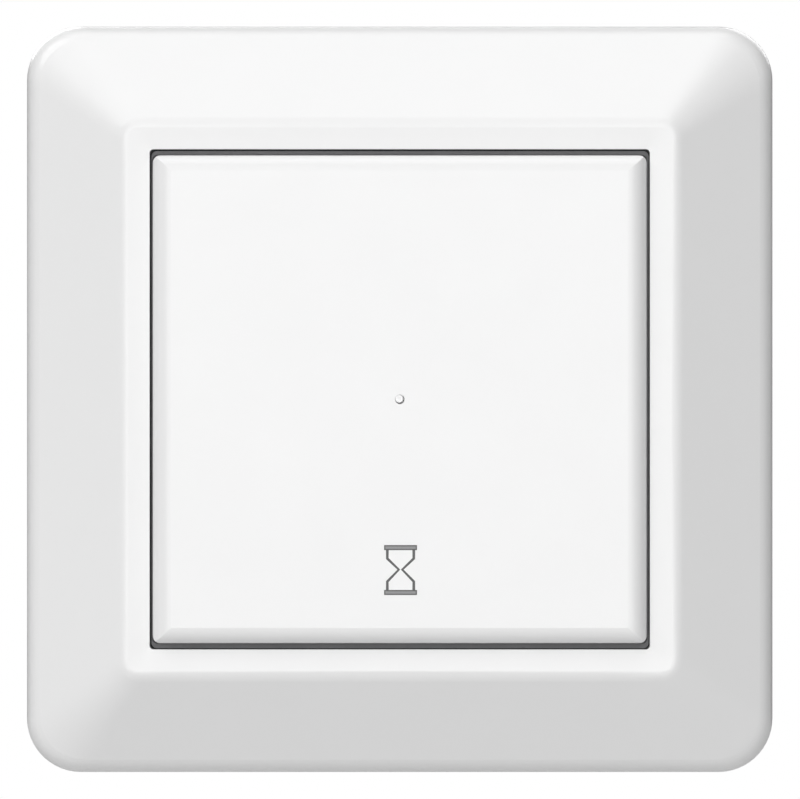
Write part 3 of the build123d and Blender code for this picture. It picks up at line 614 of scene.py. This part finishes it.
@dataclass
class CoverFrame:
    """The white frame, with the crisp inner edge that the moulding has.

    The first four sizes are the solid's own. Of the edge's round only the kept share is left, and
    the opening is made tighter all round.
    """

    shop: Workshop
    opening_half: float = 0.02785
    corner: float = 0.0005
    band_height: float = 0.0098
    edge_round: float = 0.0003
    kept_round: float = 0.2
    reach: float = 0.000003
    tighter: float = 0.00005

    def build(self) -> None:
        """Makes the frame from the solid, with a smaller round along its opening."""
        mesh, normals = self.shop.reopen("cover_frame")
        for vert in mesh.verts:
            self.sharpen(vert)
        self.shop.stand_in("cover_frame_shell", mesh, normals, "base", "cover_frame")

    def sharpen(self, vert: bmesh.types.BMVert) -> None:
        """Draws a point of the opening's edge or wall inwards, and the edge's round to its corner.

        Args:
            vert: A point of the frame.
        """
        inner = self.opening_half - self.corner
        out = Vector((abs(vert.co.x) - inner, abs(vert.co.z) - inner))
        away = Vector((max(out.x, 0.0), max(out.y, 0.0)))
        distance = away.length - self.corner
        drop = self.band_height + vert.co.y
        if away.length == 0 or not -self.reach < distance < self.edge_round + self.reach:
            return
        on_round = drop < self.edge_round + self.reach
        if not on_round and distance > self.reach:
            return
        back = away.normalized() * (distance * (1 - self.kept_round) + self.tighter)
        vert.co.x -= math.copysign(back.x, vert.co.x)
        vert.co.z -= math.copysign(back.y, vert.co.z)
        if on_round:
            vert.co.y -= drop * (1 - self.kept_round)


@dataclass
class Collar:
    """Thin upstanding rim of the carrier, seen as the grey line round the button; its grey is darkened
    past the carrier's own as painted shade.
    """

    shop: Workshop
    outer_half: float = 0.02765
    inner_half_x: float = 0.02751
    inner_half_z: float = 0.02718
    play: float = 0.00004
    corner: float = 0.0006
    corner_steps: int = 6
    top: float = 0.0077
    foot: float = 0.0048
    # A black sheet deep in the gap between collar and frame: painted shadow where the frame's edge shades
    # the gap.
    seal_half: float = 0.02779
    seal_top: float = 0.0067
    seal_foot: float = 0.0061

    def build(self) -> None:
        """Makes the collar, and a black sheet between it and the frame that paints the gap's shadow."""
        outer = (self.outer_half, self.outer_half, self.play)
        inner = (self.inner_half_x, self.inner_half_z, 0.0)
        shadow_sheet = (self.seal_half, self.seal_half, 0.0)
        mesh = self.ring(outer, inner, self.top, self.foot)
        # The collar's grey is darker than the carrier's own: painted shade of the deep gap.
        self.shop.piece("carrier_collar", mesh, "base", "carrier_grey", COLLAR_SHADE_GREY)
        # Black sheet in the gap: painted shadow beside the frame's edge.
        mesh = self.ring(shadow_sheet, outer, self.seal_top, self.seal_foot)
        self.shop.piece("gap_shadow_sheet", mesh, "base", "black_plastic")

    def ring(
        self, outer: tuple[float, ...], inner: tuple[float, ...], top: float, foot: float
    ) -> bmesh.types.BMesh:
        """Bridges two rounded outlines and gives the ring its height.

        Args:
            outer: Half width, half height and shift of the outer outline.
            inner: The same for the inner outline.
            top: Height of the ring's front in front of the wall.
            foot: Height of its back.

        Returns:
            The finished bmesh.
        """
        mesh = bmesh.new()
        edges = self.outline(mesh, *outer, top) + self.outline(mesh, *inner, top)
        faces = bmesh.ops.bridge_loops(mesh, edges=edges)["faces"]
        walls = bmesh.ops.extrude_face_region(mesh, geom=faces)["geom"]
        moved = [item for item in walls if isinstance(item, bmesh.types.BMVert)]
        bmesh.ops.translate(mesh, verts=moved, vec=(0, top - foot, 0))
        bmesh.ops.recalc_face_normals(mesh, faces=mesh.faces)
        return mesh

    def outline(
        self, mesh: bmesh.types.BMesh, half_x: float, half_z: float, shift: float, top: float
    ) -> list[bmesh.types.BMEdge]:
        """A rectangle with rounded corners.

        Args:
            mesh: The bmesh that gets the outline.
            half_x: Half of the width.
            half_z: Half of the height.
            shift: How far the outline sits to the right and down.
            top: Height in front of the wall.

        Returns:
            The outline's edges.
        """
        place = Matrix.Translation((shift, -top, -shift)) @ Matrix.Diagonal((half_x, 1, half_z, 1))
        upright = Matrix.Rotation(math.radians(90), 4, "X")
        quad = bmesh.ops.create_grid(mesh, x_segments=1, y_segments=1, size=1, matrix=place @ upright)
        bmesh.ops.bevel(
            mesh, geom=quad["verts"], offset=self.corner, segments=self.corner_steps,
            profile=0.5, affect="VERTICES", material=-1,
        )
        mesh.faces.ensure_lookup_table()
        sheet = mesh.faces[0]
        edges = list(sheet.edges)
        bmesh.ops.delete(mesh, geom=[sheet], context="FACES_ONLY")
        return edges


@dataclass
class ButtonShell:
    """The white button, with the full, slowly turning edges that the moulding has.

    The rounds are the solid's own. A point of them rises by the lift, less near the face.
    """

    shop: Workshop
    face: float = field(init=False)
    flat_x: float = field(init=False)
    flat_z: float = field(init=False)
    side_round: float = 0.00205
    end_round: float = 0.0017
    lift: float = 0.0005
    fade: float = 0.00085
    reach: float = 0.00003

    def build(self) -> None:
        """Makes the button from the solid, with its rounded edges filled out."""
        low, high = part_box("rocker")
        self.face = -low.y
        self.flat_x = (high.x - low.x) / 2 - self.side_round
        self.flat_z = (high.z - low.z) / 2 - self.end_round
        data = frame["nodes"]["rocker"].data
        mesh, normals = self.shop.reopen("rocker")
        for normal, loop in zip(normals, data.loops):
            drop = self.drop(data.vertices[loop.vertex_index].co)
            steep = 1 - self.lift / self.fade * math.exp(-drop / self.fade) if drop else 1.0
            normal.x *= steep
            normal.z *= steep
            normal.normalize()
        for vert in mesh.verts:
            vert.co.y -= self.lift * (1 - math.exp(-self.drop(vert.co) / self.fade))
        self.shop.stand_in("rocker_shell", mesh, normals, "rocker", "rocker")

    def drop(self, spot: Vector) -> float:
        """How far a point of the front's rounded edge lies behind the face.

        Args:
            spot: A point of the button.

        Returns:
            The distance, or 0 for a point that isn't on the rounded edge.
        """
        ideal = max(
            self.arc(abs(spot.x) - self.flat_x, self.side_round),
            self.arc(abs(spot.z) - self.flat_z, self.end_round),
        )
        drop = self.face + spot.y
        return drop if abs(drop - ideal) < self.reach else 0.0

    def arc(self, out: float, radius: float) -> float:
        """Depth of a quarter round.

        Args:
            out: Distance from where the round starts.
            radius: Radius of the round.

        Returns:
            How far the round has fallen there.
        """
        return radius - math.sqrt(radius ** 2 - min(max(out, 0.0), radius) ** 2)


@dataclass
class RockerFace:
    """The button's printed hourglass and its light lens."""

    shop: Workshop
    face: float = field(init=False)
    ink_thickness: float = 0.000008
    ink_lift: float = 0.000004
    mark_x: float = 0.00009
    mark_top: float = -0.01620
    mark_bottom: float = -0.02175
    bar_half: float = 0.00183
    bar_height: float = 0.00056
    bar_edge: float = 0.00014
    line_radius: float = 0.000155
    glass_half: float = 0.00147
    shoulder: float = 0.00094
    neck_half: float = 0.00019
    neck_lift: float = 0.00005
    lens_inner: float = 0.00037
    lens_edge: float = 0.00004
    lens_edge_drop: float = 0.00001
    lens_outer: float = 0.00047
    lens_sink: float = 0.00020
    lens_slope_end: float = 0.00012
    lens_play: float = 0.00006
    stem_radius: float = 0.00041
    flange: float = 0.0008
    dimple_radius: float = 0.00019
    dimple_depth: float = 0.00003

    def build(self) -> None:
        """Makes the mark and the lens."""
        self.face = -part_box("rocker")[0].y
        self.lines()
        self.bars()
        self.lens()

    def lines(self) -> None:
        """The two bent lines of the glass, printed in ink."""
        height = self.face + self.ink_lift
        top, bottom = self.mark_top - self.bar_height, self.mark_bottom + self.bar_height
        middle = (self.mark_top + self.mark_bottom) / 2 + self.neck_lift
        data = bpy.data.curves.new("glass_lines", "CURVE")
        data.dimensions = "3D"
        data.bevel_depth = self.line_radius
        data.bevel_resolution = 2
        for side in (-1, 1):
            wide, narrow = side * self.glass_half, side * self.neck_half
            route = [
                (wide, top), (wide, top - self.shoulder), (narrow, middle),
                (wide, bottom + self.shoulder), (wide, bottom),
            ]
            spline = data.splines.new("POLY")
            spline.points.add(len(route) - 1)
            for point, (x, z) in zip(spline.points, route):
                point.co = (self.mark_x + x, 0.0, z, 1.0)
        source = bpy.data.objects.new("glass_lines", data)
        flat = bpy.data.meshes.new_from_object(source)
        mesh = bmesh.new()
        mesh.from_mesh(flat)
        bpy.data.objects.remove(source)
        bpy.data.meshes.remove(flat)
        thin = self.ink_thickness / (2 * self.line_radius)
        bmesh.ops.scale(mesh, verts=mesh.verts, vec=(1, thin, 1))
        bmesh.ops.translate(mesh, verts=mesh.verts, vec=(0, -height, 0))
        bmesh.ops.holes_fill(mesh, edges=mesh.edges)
        bmesh.ops.recalc_face_normals(mesh, faces=mesh.faces)
        self.shop.piece("hourglass_lines", mesh, "rocker", "carrier_grey", INK)

    def bars(self) -> None:
        """The two bars of the hourglass, darker along their edges."""
        rim, core = bmesh.new(), bmesh.new()
        for low in (self.mark_top - self.bar_height, self.mark_bottom):
            high = low + self.bar_height
            left, right = self.mark_x - self.bar_half, self.mark_x + self.bar_half
            rear, front = -self.face, -self.face - self.ink_thickness
            edge = self.bar_edge
            proud = front - self.ink_lift
            block(rim, (left, front, low), (right, rear, high))
            block(core, (left + edge, proud, low + edge), (right - edge, rear, high - edge))
        self.shop.piece("hourglass_bar_rims", rim, "rocker", "carrier_grey", INK)
        self.shop.piece("hourglass_bar_cores", core, "rocker", "carrier_grey", THIN_INK)

    def lens(self) -> None:
        """The lens: a bead with a bevelled rim and a small dimple."""
        low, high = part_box("rocker_lens")
        rear = -high.y
        flange_radius = (high.x - low.x) / 2
        outline = [
            (0.0, self.face - self.dimple_depth),
            (self.dimple_radius * 0.6, self.face - self.dimple_depth * 0.7),
            (self.dimple_radius, self.face),
            (self.lens_inner, self.face),
            (self.lens_inner + self.lens_edge, self.face - self.lens_edge_drop),
            (self.lens_outer, self.face - self.lens_slope_end),
            (self.lens_outer, self.face - self.lens_sink),
            (self.stem_radius, rear + self.flange),
            (flange_radius, rear + self.flange),
            (flange_radius, rear),
            (0.0, rear),
        ]
        mesh = bmesh.new()
        lathe(mesh, outline, (-self.lens_play, self.lens_play))
        lens = self.shop.piece("lens_bead", mesh, "rocker", "clear_plastic", LENS_MILK)
        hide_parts("rocker_lens")


@dataclass
class ClawScrew:
    """Thread on one claw screw."""

    shop: Workshop
    side: str
    head: float = 0.0016
    pitch: float = 0.0005
    flank: float = 0.0002
    root: float = 0.00142
    crest: float = 0.00158
    clear_of_head: float = 0.0007
    clear_of_tip: float = 0.0006
    steps: int = 20

    def build(self) -> None:
        """Winds the thread round the screw."""
        body = f"claw_screw_{self.side}"
        low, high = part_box(body)
        centre_x = (low.x + high.x) / 2
        first = low.y + self.head + self.clear_of_head
        turns = int((high.y - self.clear_of_tip - first) / self.pitch)
        mesh = bmesh.new()
        ridge = [
            (centre_x + self.root, first - self.flank, 0),
            (centre_x + self.crest, first, 0),
            (centre_x + self.root, first + self.flank, 0),
        ]
        verts = [mesh.verts.new(point) for point in ridge]
        loop = [mesh.edges.new(pair) for pair in zip(verts, verts[1:] + verts[:1])]
        bmesh.ops.spin(
            mesh, geom=verts + loop, cent=(centre_x, 0, 0), axis=(0, 1, 0),
            dvec=(0, self.pitch / self.steps, 0), angle=2 * math.pi * turns,
            steps=turns * self.steps,
        )
        bmesh.ops.holes_fill(mesh, edges=mesh.edges)
        bmesh.ops.recalc_face_normals(mesh, faces=mesh.faces)
        self.shop.piece(f"{body}_thread", mesh, body, "zinc_steel")


@dataclass
class BoardParts:
    """Small parts and joints on the two circuit boards.

    A joint's outline is given in shares of its radius and height.
    """

    shop: Workshop
    front: float = field(init=False)
    leg_count: int = 7
    leg_pitch: float = 0.0008
    leg_width: float = 0.0003
    leg_reach: float = 0.0009
    leg_arm: float = 0.00045
    leg_top: float = 0.0007
    leg_sheet: float = 0.0002
    leg_foot: float = 0.0005
    leg_drop: float = 0.00045
    leg_edge: float = 0.00004
    joint_radius: float = 0.0008
    joint_height: float = 0.0007
    joint_spread: float = 0.3
    joint_outline: tuple[tuple[float, float], ...] = (
        (1.0, 0.0), (0.55, 0.45), (0.3, 1.0), (0.0, 1.15),
    )
    chip_size: tuple[float, float, float] = (0.0016, 0.00055, 0.0008)
    chip_gap: float = 0.00005
    chip_edge: float = 0.00006
    chip_end: float = 0.0003
    end_proud: float = 0.00002
    end_edge: float = 0.00008
    chip_places: tuple[tuple[float, float], ...] = (
        (-0.0110, -0.0040), (-0.0110, -0.0065), (-0.0085, -0.0110), (-0.0060, -0.0110),
        (0.0035, -0.0115), (0.0060, 0.0060), (0.0085, 0.0060), (0.0110, 0.0060), (0.0060, 0.0090),
        (-0.0040, 0.0110),
    )

    def build(self) -> None:
        """Makes the legs, the small chips and the solder joints."""
        self.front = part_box("control_board")[0].y
        self.legs()
        self.chips()
        self.joints()

    def legs(self) -> None:
        """Bent legs along two sides of the controller."""
        low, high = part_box("microcontroller")
        middle, half = (low.z + high.z) / 2, self.leg_width / 2
        mesh = bmesh.new()
        for side, edge in ((-1, low.x), (1, high.x)):
            tip = edge + side * self.leg_reach
            arm = sorted((edge, edge + side * self.leg_arm))
            foot = sorted((tip, tip - side * self.leg_foot))
            for number in range(self.leg_count):
                z = middle + (number - (self.leg_count - 1) / 2) * self.leg_pitch
                for (near, far), top, thick in (
                    (arm, self.leg_top, self.leg_sheet), (foot, self.leg_drop, self.leg_drop),
                ):
                    y = self.front - top
                    block(mesh, (near, y, z - half), (far, y + thick, z + half), self.leg_edge, 1)
        self.shop.piece("controller_legs", mesh, "base", "tinned_metal")

    def chips(self) -> None:
        """Small resistors and capacitors with tinned ends."""
        bodies, ends = bmesh.new(), bmesh.new()
        length, height, width = self.chip_size
        inner = length / 2 - self.chip_end
        top = self.front - height
        for x, z in self.chip_places:
            low, high = z - width / 2, z + width / 2
            rear = self.front - self.chip_gap
            block(bodies, (x - inner, top, low), (x + inner, rear, high), self.chip_edge, 1)
            for side in (-1, 1):
                near, far = sorted((x + side * inner, x + side * length / 2))
                proud = top - self.end_proud
                block(ends, (near, proud, low), (far, self.front, high), self.end_edge, 2)
        self.shop.piece("board_chips", bodies, "base", "black_plastic")
        self.shop.piece("board_chip_ends", ends, "base", "tinned_metal")

    def joints(self) -> None:
        """Solder joints behind the power board, under the parts that stand on it."""
        rear = -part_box("power_board")[1].y
        outline = [
            (self.joint_radius * across, rear - self.joint_height * along)
            for across, along in self.joint_outline
        ]
        mesh = bmesh.new()
        for name in ("relay", "film_capacitor", "smoothing_capacitor", "fuse", "varistor"):
            low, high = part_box(name)
            spread = (high.x - low.x) * self.joint_spread
            for side in (-1, 1):
                centre = ((low.x + high.x) / 2 + side * spread, (low.z + high.z) / 2)
                lathe(mesh, outline, centre, 16)
        self.shop.piece("power_board_joints", mesh, "base", "tinned_metal")


@dataclass
class Studio:
    """Camera, lights, backdrop and floor.

    The picture is as wide as stated at the depth where the frame's front stands.
    """

    picture_width: float = 0.08903
    distance: float = 4.0
    frame_stand: float = 0.006
    sensor: float = 36.0
    centre_shift_x: float = 0.00003
    centre_shift_z: float = -0.00002
    floor_drop: float = 0.06
    floor_radius: float = 0.9
    floor_steps: int = 96
    floor_tone: float = 0.57
    ambient: float = 0.05
    suns: tuple[tuple[str, tuple[float, float, float], float, float], ...] = (
        ("front_light", (0.0, -1.0, 0.0), 0.35, 20.0),
        ("wide_front_light", (0.0, -1.0, 0.0), 0.50, 40.0),
        ("front_top_light", (0.0, -0.84, 0.54), 0.64, 40.0),
        ("top_light", (0.0, -0.5, 0.87), 0.38, 40.0),
        ("high_light", (0.0, -0.2, 0.98), 0.52, 40.0),
        ("top_left_light", (-0.6, -0.5, 0.62), 1.13, 40.0),
        ("back_left_light", (-0.35, 0.8, 0.5), 1.2, 40.0),
        ("back_right_light", (0.42, 0.8, 0.5), 0.9, 40.0),
    )

    def build(self) -> None:
        """Makes the camera, the lights, the world and the floor."""
        self.camera()
        for sun in self.suns:
            self.sun(*sun)
        self.world()
        self.floor()

    def camera(self) -> None:
        """Camera straight in front, far away, framing what the photograph frames."""
        data = bpy.data.cameras.new("front_camera")
        data.sensor_width = self.sensor
        data.lens = self.sensor * (self.distance - self.frame_stand) / self.picture_width
        data.clip_end = 2 * self.distance
        camera = bpy.data.objects.new("front_camera", data)
        camera.location = (self.centre_shift_x, -self.distance, self.centre_shift_z)
        camera.rotation_euler = (math.radians(90), 0, 0)
        bpy.context.scene.collection.objects.link(camera)
        bpy.context.scene.camera = camera

    def sun(self, name: str, source: tuple, strength: float, spread: float) -> None:
        """Soft light from far away.

        Args:
            name: The light's name.
            source: Direction towards the light.
            strength: Irradiance on a surface that faces the light.
            spread: Angle across the light as seen from the switch, in degrees.
        """
        data = bpy.data.lights.new(name, "SUN")
        data.energy = strength
        data.angle = math.radians(spread)
        light = bpy.data.objects.new(name, data)
        light.rotation_mode = "QUATERNION"
        light.rotation_quaternion = Vector(source).to_track_quat("Z", "Y")
        bpy.context.scene.collection.objects.link(light)

    def world(self) -> None:
        """White backdrop for the camera, softer ambient light for the surfaces."""
        world = bpy.data.worlds.new("studio_world")
        bpy.context.scene.world = world
        world.use_nodes = True
        nodes, links = world.node_tree.nodes, world.node_tree.links
        nodes.clear()
        path = nodes.new("ShaderNodeLightPath")
        ambient = nodes.new("ShaderNodeBackground")
        ambient.inputs["Strength"].default_value = self.ambient
        ambient.inputs["Color"].default_value = (1, 1, 1, 1)
        backdrop = nodes.new("ShaderNodeBackground")
        backdrop.inputs["Color"].default_value = (1, 1, 1, 1)
        mix = nodes.new("ShaderNodeMixShader")
        output = nodes.new("ShaderNodeOutputWorld")
        links.new(path.outputs["Is Camera Ray"], mix.inputs[0])
        links.new(ambient.outputs[0], mix.inputs[1])
        links.new(backdrop.outputs[0], mix.inputs[2])
        links.new(mix.outputs[0], output.inputs["Surface"])
        bpy.context.scene.view_settings.view_transform = "Standard"

    def floor(self) -> None:
        """Plain pale disc below the switch, not seen from underneath."""
        mesh = bmesh.new()
        bmesh.ops.create_circle(mesh, cap_ends=True, segments=self.floor_steps, radius=self.floor_radius)
        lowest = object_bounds()[0].z - self.floor_drop
        bmesh.ops.translate(mesh, verts=mesh.verts, vec=(0, 0, lowest))
        data = bpy.data.meshes.new("studio_floor")
        mesh.to_mesh(data)
        mesh.free()
        floor = bpy.data.objects.new("studio_floor", data)
        bpy.context.scene.collection.objects.link(floor)
        shader = Shader("studio_floor")
        tone = (self.floor_tone,) * 3
        matt = shader.node("ShaderNodeBsdfDiffuse", {}, {"Color": (*tone, 1)})
        clear = shader.node("ShaderNodeBsdfTransparent")
        below = shader.node("ShaderNodeNewGeometry").outputs["Backfacing"]
        seen = shader.node("ShaderNodeMixShader", {}, {0: below, 1: matt.outputs[0], 2: clear.outputs[0]})
        shader.node("ShaderNodeOutputMaterial", {}, {"Surface": seen.outputs[0]})
        floor.data.materials.append(shader.material)
        floor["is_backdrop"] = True


def main() -> None:
    """Builds the looks of every piece in order."""
    logging.basicConfig(level=logging.INFO)
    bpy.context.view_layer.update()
    shop = Workshop()
    shop.dress()
    CoverFrame(shop).build()
    Collar(shop).build()
    ButtonShell(shop).build()
    RockerFace(shop).build()
    for side in ("left", "right"):
        ClawScrew(shop, side).build()
    BoardParts(shop).build()
    Studio().build()


if __name__ == "__main__":
    main()
